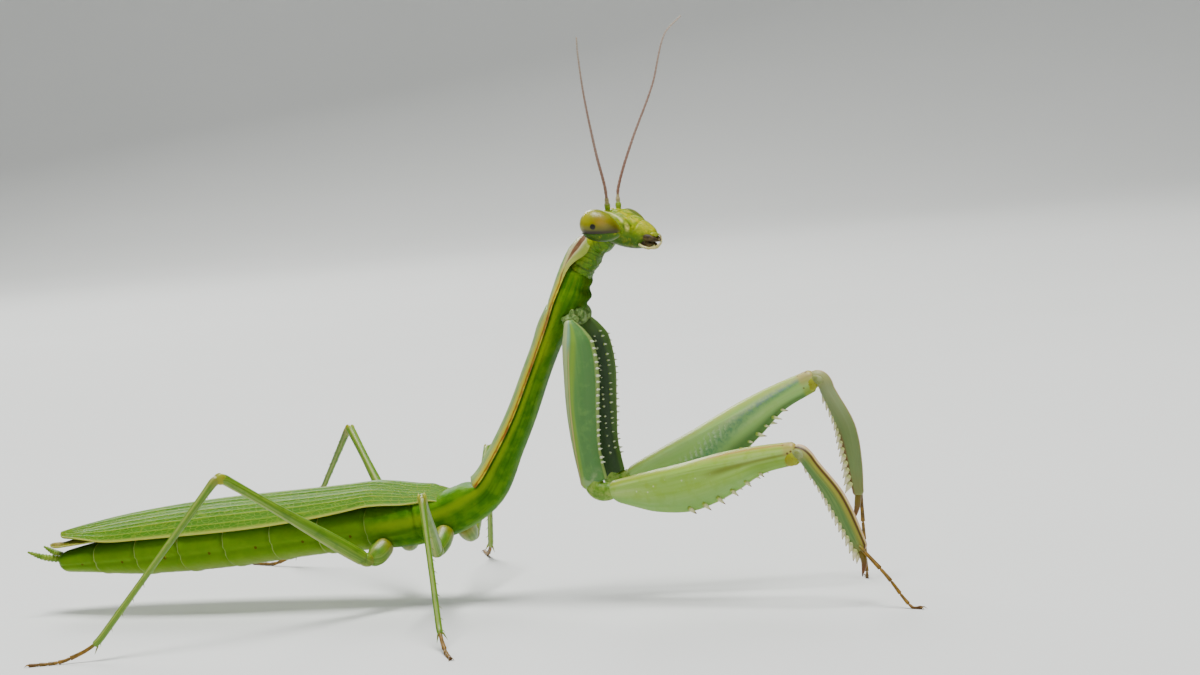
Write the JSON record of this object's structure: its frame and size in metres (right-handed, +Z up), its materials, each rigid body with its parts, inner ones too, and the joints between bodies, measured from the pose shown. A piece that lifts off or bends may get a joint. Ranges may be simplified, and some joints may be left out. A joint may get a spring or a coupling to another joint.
{
  "type": "praying mantis",
  "caption": "Life-size green praying mantis, standing with its long neck-like thorax raised, forelegs half folded and wings closed.",
  "frame": {"origin": "on the floor, under the middle of the whole animal's box", "axes": "+X towards the head, +Y to the animal's left, +Z up"},
  "size_m": [0.0728, 0.0454, 0.042],
  "materials": {
    "pronotum": "satin leaf-green shell with a pinkish-brown edge line",
    "thorax": "satin yellow-green skin",
    "abdomen": "satin pale green skin",
    "head": "satin lime green",
    "eye": "glossy olive-yellow",
    "mouth": "satin cream and brown",
    "antenna": "satin reddish brown fading to grey",
    "foreleg": "satin blue-green to yellow-green",
    "walking_leg": "satin green",
    "foot": "satin tan",
    "wing": "satin green, finely veined"
  },
  "bodies": {
    "root": {"abdomen_1": "abdomen", "abdomen_2": "abdomen", "abdomen_3": "abdomen", "abdomen_4": "abdomen", "abdomen_5": "abdomen", "abdomen_6": "abdomen", "abdomen_7": "abdomen", "antenna_left": "antenna", "antenna_right": "antenna", "cercus_left": "abdomen", "cercus_right": "abdomen", "eye_left": "eye", "eye_right": "eye", "fore_claw_left": "foot", "fore_claw_right": "foot", "fore_coxa_left": "foreleg", "fore_coxa_right": "foreleg", "fore_femur_left": "foreleg", "fore_femur_right": "foreleg", "fore_tarsus_left": "foot", "fore_tarsus_right": "foot", "fore_tibia_left": "foreleg", "fore_tibia_right": "foreleg", "fore_trochanter_left": "foreleg", "fore_trochanter_right": "foreleg", "head": "head", "hind_coxa_left": "walking_leg", "hind_coxa_right": "walking_leg", "hind_femur_left": "walking_leg", "hind_femur_right": "walking_leg", "hind_tarsus_left": "foot", "hind_tarsus_right": "foot", "hind_tibia_left": "walking_leg", "hind_tibia_right": "walking_leg", "hindwing_left": "wing", "hindwing_right": "wing", "mesothorax": "thorax", "metathorax": "thorax", "mid_coxa_left": "walking_leg", "mid_coxa_right": "walking_leg", "mid_femur_left": "walking_leg", "mid_femur_right": "walking_leg", "mid_tarsus_left": "foot", "mid_tarsus_right": "foot", "mid_tibia_left": "walking_leg", "mid_tibia_right": "walking_leg", "mouthparts": "mouth", "neck": "thorax", "palp_left": "mouth", "palp_right": "mouth", "pronotum": "pronotum", "prothorax": "thorax", "tegmen_left": "wing", "tegmen_right": "wing"}
  },
  "joints": []
}
